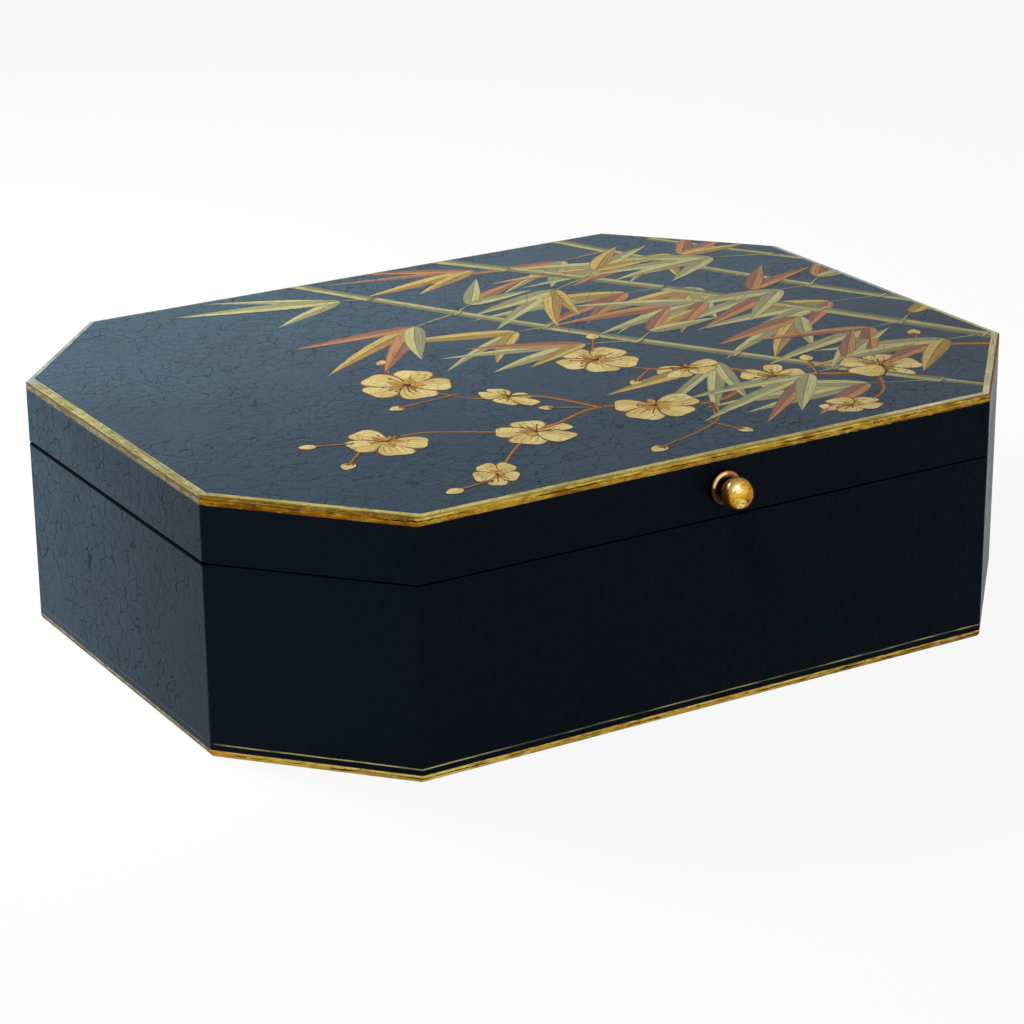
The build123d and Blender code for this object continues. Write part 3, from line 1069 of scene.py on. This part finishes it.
def make_paints():
    ink = (86, 62, 38)
    faint = (112, 104, 92)
    for name, *shades, veins, midrib, outer in (
        ("sage", (200, 196, 142), (150, 150, 118), faint, 5, 0.7, 0.4),
        ("gold", (208, 186, 118), (166, 136, 92), ink, 5, 0.6, 0.4),
        ("copper", (196, 146, 108), (142, 112, 102), ink, 6, 0.5, 0.4),
        ("cane", (186, 182, 132), (120, 124, 104), faint, 3, 0.0, 0.6),
        ("ring", (212, 204, 150), (170, 160, 116), ink, 1, 0.0, 0.3),
        ("branch", (178, 130, 86), (104, 78, 62), ink, 4, 0.0, 0.5),
        ("petal", (230, 211, 146), (214, 190, 124), ink, 6, 0.0, 0.85),
        ("heart", (204, 170, 96), (176, 140, 78), ink, 3, 0.0, 0.0),
        ("stamen", (112, 78, 42), (98, 68, 38), ink, 1, 0.0, 0.0),
        ("pollen", (126, 80, 34), (104, 68, 34), ink, 1, 0.0, 0.0),
    ):
        light, shade, line = [seen_as(*tone) for tone in shades]
        PAINTS[name] = paint_material(f"painted_{name}", light, shade, line, veins, midrib, outer)


def at(x, y):
    return Vector((x, y))


def paint_bamboo():
    """Four canes that cross the right of the lid, with their leaves blown to the left."""
    painting = Painting("painted_bamboo", ("cane", "ring", "sage", "gold", "copper"), 11)
    leaves = ("sage", "sage", "gold", "copper")
    canes = (
        (at(130, -130), at(-28, 124), 9, 5.4, 8),
        (at(168, -96), at(34, 124), -8, 6.4, 8),
        (at(168, -34), at(88, 126), 6, 5.2, 6),
        (at(166, 38), at(122, 106), 2, 3.8, 3),
    )
    for start, end, bow, width, joint_count in canes:
        joints = painting.culm("cane", "ring", start, end, bow, width, joint_count)
        for i, joint in enumerate(joints[1:-1]):
            heading = 160 + 16 * (i % 3) + painting.chance.uniform(-8, 8)
            reach = painting.chance.uniform(12, 26)
            tip = painting.twig("cane", joint, heading, reach, 1.5)
            longest = painting.chance.uniform(52, 68)
            sizes = [longest * share for share in (1.0, 0.86, 0.8, 0.62)]
            painting.spray(leaves, tip, heading + 12, sizes, 19)
            if i % 2:
                tip = painting.twig("cane", joint, 40, 12, 1.3, -8)
                painting.spray(leaves, tip, 30, [40, 34, 30], 24)
    painting.finish()


def paint_plum():
    """A flowering plum branch that comes in from the right across the front."""
    painting = Painting("painted_plum", ("branch", "petal", "heart", "stamen", "pollen"), 23)
    main = [
        at(152, -80), at(122, -66), at(94, -80), at(60, -66), at(28, -78),
        at(-6, -62), at(-38, -70), at(-72, -52), at(-98, -58),
    ]
    painting.branch("branch", main, 7.5, 1.3)
    for start, wide, *spots in (
        (2, 3.0, (84, -98), (66, -108)),
        (3, 3.4, (50, -46), (30, -36), (20, -18)),
        (5, 2.8, (-18, -40), (-38, -30), (-50, -8)),
        (6, 2.2, (-56, -86), (-70, -102)),
        (4, 2.2, (18, -94), (-4, -104)),
    ):
        painting.branch("branch", [main[start]] + [at(*spot) for spot in spots], wide, 0.9)
    for x, y, radius, turn, squash in (
        (-84, -54, 15, 20, 0.9), (-50, -6, 16, 100, 1.0), (-27, -36, 12, 200, 0.6),
        (-38, -72, 14, 60, 0.85), (-70, -100, 11, 150, 0.7), (20, -17, 15, 15, 0.95),
        (42, -42, 13, 280, 0.65), (10, -70, 15, 130, 1.0), (66, -105, 11, 75, 0.7),
        (62, -66, 13, 330, 0.9), (100, -76, 15, 40, 0.9),
    ):
        painting.blossom(at(x, y), radius, turn, squash)
    for x, y, tip_x, tip_y, size in (
        (-96, -58, -104, -66, 6.5), (-94, -50, -106, -46, 6.0), (-50, 6, -46, 17, 6.5),
        (-40, -24, -62, -26, 6.0), (-74, -104, -86, -106, 6.5), (-2, -103, -10, -106, 7.0),
        (16, -94, 20, -104, 6.0), (24, -8, 32, 4, 6.5), (30, -36, 20, -44, 5.5),
        (-10, -60, -20, -54, 5.5), (76, -72, 82, -58, 6.5), (124, -67, 132, -54, 6.5),
    ):
        painting.bud(at(x, y), at(tip_x, tip_y), size)
    painting.finish()


def swell(piece, held, cap):
    """Blows a pad up by cloth simulation and limits how far its points move to cap."""
    before = [vertex.co.copy() for vertex in piece.data.vertices]
    piece.vertex_groups.new(name="held").add(held, 1.0, "REPLACE")
    cloth = piece.modifiers.new("cloth", "CLOTH")
    cloth.settings.vertex_group_mass = "held"
    cloth.settings.use_pressure = True
    cloth.settings.uniform_pressure_force = CLOTH_PRESSURE
    cloth.settings.shrink_min = CLOTH_SLACK
    cloth.settings.effector_weights.gravity = 0
    cloth.point_cache.frame_start = 1
    cloth.point_cache.frame_end = CLOTH_FRAMES
    stage = bpy.context.scene
    for number in range(1, CLOTH_FRAMES + 1):
        stage.frame_set(number)
    swollen = piece.evaluated_get(bpy.context.evaluated_depsgraph_get())
    after = [vertex.co.copy() for vertex in swollen.data.vertices]
    piece.modifiers.remove(cloth)
    piece.vertex_groups.clear()
    stage.frame_set(1)
    for vertex, start, end in zip(piece.data.vertices, before, after):
        move = end - start
        if move.length > 0:
            vertex.co = start + move.normalized() * cap * (1 - math.exp(-move.length / cap))


def quilt_grid(high, height):
    """A flat mesh whose lines run along the quilting."""
    mesh = bmesh.new()
    reach = math.ceil(high.x / QUILT_LENGTH + high.y / QUILT_WIDTH) * QUILT_STEPS
    points = {}
    for i in range(-reach, reach + 1):
        for j in range(-reach, reach + 1):
            x = QUILT_LENGTH * (i + j) / 2 / QUILT_STEPS
            y = QUILT_WIDTH * (i - j) / 2 / QUILT_STEPS
            if abs(x) < high.x + QUILT_LENGTH / 4 and abs(y) < high.y + QUILT_WIDTH / 4:
                points[i, j] = mesh.verts.new((x, y, height))
    for i, j in points:
        ring = [(i, j), (i + 1, j), (i + 1, j + 1), (i, j + 1)]
        if all(corner in points for corner in ring):
            mesh.faces.new([points[corner] for corner in reversed(ring)])
    return mesh


def off_seams(x, y):
    """How far a place is from the quilting's seams that run one way and the other."""
    for turn in (1, -1):
        lane = x / QUILT_LENGTH + turn * y / QUILT_WIDTH
        yield abs(lane - round(lane)) * QUILT_LANE


def groove(x, y):
    """How deep the stitching draws the silk in, as a share of the pad's thickness."""
    return max(SEAM_PULL * math.exp(-((off / SEAM_HALF_WIDTH) ** 2)) for off in off_seams(x, y))


def put_in_order(mesh):
    """Sorts a mesh by place, so that the cloth simulation runs the same each time."""

    def place_of(part):
        return sorted(tuple(vertex.co) for vertex in getattr(part, "verts", [part]))

    for parts in (mesh.verts, mesh.edges, mesh.faces):
        ranks = {part: rank for rank, part in enumerate(sorted(parts, key=place_of))}
        parts.sort(key=ranks.get)
        parts.index_update()


def make_pad(name, node, body, quilted, silk):
    """A silk pad in the place of its solid: flat where it is glued and swollen on the other."""
    low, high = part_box(node)
    thick = high.z - low.z
    glued, outward = (low.z, 1) if body == "base" else (high.z, -1)
    mesh = quilt_grid(high, glued + outward * thick * PAD_START)
    clip_to_plan(mesh, dict.fromkeys(SIDES, PAD_INSET + PAD_DRAWN_IN))
    put_in_order(mesh)
    bmesh.ops.remove_doubles(mesh, verts=mesh.verts[:], dist=SHORTEST_EDGE)
    rim = [edge for edge in mesh.edges if edge.is_boundary]
    lowered = bmesh.ops.extrude_edge_only(mesh, edges=rim)["geom"]
    for item in lowered:
        if isinstance(item, bmesh.types.BMVert):
            item.co.z = glued
    bmesh.ops.recalc_face_normals(mesh, faces=mesh.faces[:])
    if sum(face.normal.z for face in mesh.faces) * outward < 0:
        bmesh.ops.reverse_faces(mesh, faces=mesh.faces[:])
    put_in_order(mesh)
    held = [
        vertex.index
        for vertex in mesh.verts
        if abs(vertex.co.z - glued) < SHORTEST_EDGE / 2
        or (quilted and min(off_seams(vertex.co.x, vertex.co.y)) < SHORTEST_EDGE / 2)
    ]
    data = bpy.data.meshes.new(name)
    mesh.to_mesh(data)
    mesh.free()
    piece = put_in_scene(name, data)
    swell(piece, held, thick * (1 - PAD_START))
    finer = piece.modifiers.new("finer", "SUBSURF")
    finer.levels = 1
    mesh = bmesh.new()
    mesh.from_object(piece, bpy.context.evaluated_depsgraph_get())
    piece.modifiers.remove(finer)
    for vertex in mesh.verts:
        spot = vertex.co
        if quilted and (spot.z - glued) * outward > thick * PAD_START * 0.6:
            spot.z -= outward * thick * groove(spot.x, spot.y)
        spot.z = min(max(spot.z, low.z), high.z)
    open_edges = [edge for edge in mesh.edges if edge.is_boundary]
    bmesh.ops.holes_fill(mesh, edges=open_edges, sides=0)
    for face in mesh.faces:
        face.smooth = len(face.verts) <= 4
    mesh.to_mesh(data)
    mesh.free()
    data.materials.append(silk)
    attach(piece, body)
    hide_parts(node)


make_camera()
make_world()
make_floor()
make_lamps()
dress_cad()
PAINTS = {}
make_paints()
paint_bamboo()
paint_plum()
pad_silk = cloth_material("pad_silk", colour(120, 46, 42), colour(158, 76, 66))
make_pad("floor_cushion", "floor_pad", "base", False, pad_silk)
make_pad("lid_cushion", "lid_pad", "lid", True, pad_silk)

scene = bpy.context.scene
scene.view_settings.view_transform = "Standard"
